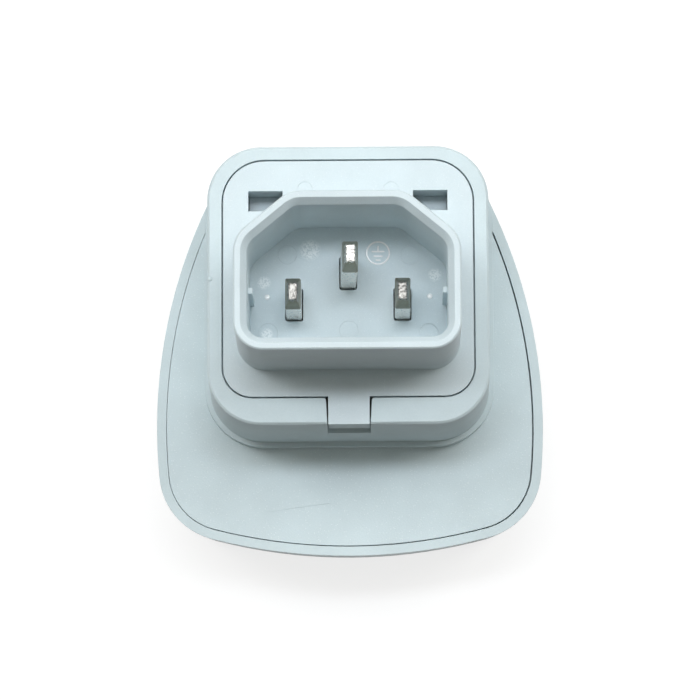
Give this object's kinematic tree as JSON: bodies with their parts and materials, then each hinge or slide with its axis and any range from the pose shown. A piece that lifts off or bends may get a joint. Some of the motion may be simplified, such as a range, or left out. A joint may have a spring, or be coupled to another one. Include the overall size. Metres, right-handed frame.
{
  "type": "appliance inlet to universal socket adapter",
  "caption": "Power adapter: a recessed three-pin appliance inlet on a square tower, with a universal socket face on the opposite side.",
  "frame": {"origin": "centre of the socket face", "axes": "+Z out of the appliance inlet's mouth, +Y towards the narrow end, where the earth pins are, +X across the body"},
  "size_m": [0.051, 0.0546, 0.0495],
  "materials": {
    "shell_plastic": "white moulded plastic, smooth satin rim",
    "cover_plastic": "white moulded plastic, finely textured, cool tint",
    "insert_plastic": "white moulded plastic, satin",
    "plated_pin": "nickel plated, drawn, with rough cropped tips",
    "contact_brass": "stamped spring strip",
    "rivet_brass": "plain",
    "inner_plastic": "natural moulded plastic",
    "screw_steel": "zinc plated"
  },
  "bodies": {
    "root": {"front_shell": "shell_plastic", "back_cover": "cover_plastic", "inlet_insert": "insert_plastic", "line_pin": "plated_pin", "neutral_pin": "plated_pin", "earth_pin": "plated_pin", "pin_clamp": "inner_plastic", "contact_retainer": "inner_plastic", "line_contact": "contact_brass", "neutral_contact": "contact_brass", "earth_contact": "contact_brass", "line_strap": "contact_brass", "neutral_strap": "contact_brass", "earth_strap": "contact_brass", "strap_rivets": "rivet_brass", "retainer_screws": "screw_steel", "cover_screws": "screw_steel"}
  },
  "joints": []
}
